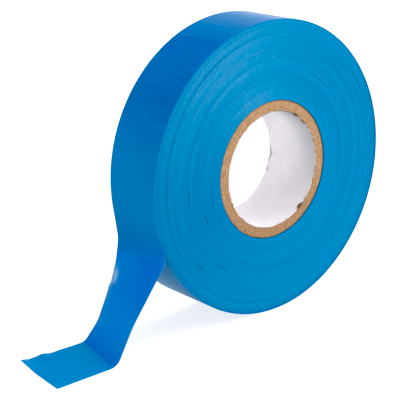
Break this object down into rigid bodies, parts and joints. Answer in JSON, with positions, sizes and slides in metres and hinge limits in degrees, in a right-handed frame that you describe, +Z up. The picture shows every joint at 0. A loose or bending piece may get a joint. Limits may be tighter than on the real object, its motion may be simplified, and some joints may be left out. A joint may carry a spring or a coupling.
{
  "type": "electrical tape roll",
  "caption": "Roll of electrical insulating tape on a chipboard core, with the free end peeled off, hanging down and lying flat.",
  "frame": {"origin": "centre of the bore, half way across the tape's width", "axes": "+Y along the roll's axis, +Z up; the roll stands on its rim and the free end hangs down on the -X side"},
  "size_m": [0.1141, 0.019, 0.0819],
  "materials": {
    "pvc_film": "glossy",
    "tape_side": "satin",
    "adhesive": "tacky, semi-gloss",
    "core_chipboard": "matte",
    "liner_paper": "matte"
  },
  "bodies": {
    "roll": {"core_liner": "liner_paper", "core_ply_1": "core_chipboard", "core_ply_2": "core_chipboard", "core_ply_3": "core_chipboard", "core_ply_4": "core_chipboard", "core_ply_5": "core_chipboard", "wound_tape": "tape_side", "last_turn_film": "pvc_film", "last_turn_adhesive": "adhesive"},
    "link_1": {"unroll_film_1": "pvc_film", "unroll_adhesive_1": "adhesive"},
    "link_2": {"unroll_film_2": "pvc_film", "unroll_adhesive_2": "adhesive"},
    "link_3": {"unroll_film_3": "pvc_film", "unroll_adhesive_3": "adhesive"},
    "link_4": {"unroll_film_4": "pvc_film", "unroll_adhesive_4": "adhesive"},
    "link_5": {"unroll_film_5": "pvc_film", "unroll_adhesive_5": "adhesive"},
    "link_6": {"unroll_film_6": "pvc_film", "unroll_adhesive_6": "adhesive"},
    "tail": {"tail_film": "pvc_film", "tail_adhesive": "adhesive"},
    "tab": {"tab_film": "pvc_film", "tab_adhesive": "adhesive"}
  },
  "joints": [
    {"name": "unroll_1", "type": "hinge", "parent": "roll", "child": "link_1", "pos_m": [-0.03048, 0, 0.0274], "axis": [0, 1, 0], "range_deg": [0, 10]},
    {"name": "unroll_2", "type": "hinge", "parent": "link_1", "child": "link_2", "pos_m": [-0.03477, 0, 0.0217], "axis": [0, 1, 0], "range_deg": [0, 10]},
    {"name": "unroll_3", "type": "hinge", "parent": "link_2", "child": "link_3", "pos_m": [-0.03802, 0, 0.01534], "axis": [0, 1, 0], "range_deg": [0, 10]},
    {"name": "unroll_4", "type": "hinge", "parent": "link_3", "child": "link_4", "pos_m": [-0.0401, 0, 0.00851], "axis": [0, 1, 0], "range_deg": [0, 10]},
    {"name": "unroll_5", "type": "hinge", "parent": "link_4", "child": "link_5", "pos_m": [-0.04097, 0, 0.00142], "axis": [0, 1, 0], "range_deg": [0, 10]},
    {"name": "unroll_6", "type": "hinge", "parent": "link_5", "child": "link_6", "pos_m": [-0.0406, 0, -0.00571], "axis": [0, 1, 0], "range_deg": [0, 10]},
    {"name": "tail_swing", "type": "hinge", "parent": "link_6", "child": "tail", "pos_m": [-0.03899, 0, -0.01267], "axis": [0, 1, 0], "range_deg": [-5, 60]},
    {"name": "tab_fold", "type": "hinge", "parent": "tail", "child": "tab", "pos_m": [-0.05355, 0, -0.04077], "axis": [0.1711, 0.9852, 0], "range_deg": [-48, 90]}
  ],
  "couplings": [
    {"joint": "unroll_2", "follows": "unroll_1", "ratio": 1},
    {"joint": "unroll_3", "follows": "unroll_1", "ratio": 1},
    {"joint": "unroll_4", "follows": "unroll_1", "ratio": 1},
    {"joint": "unroll_5", "follows": "unroll_1", "ratio": 1},
    {"joint": "unroll_6", "follows": "unroll_1", "ratio": 1}
  ]
}
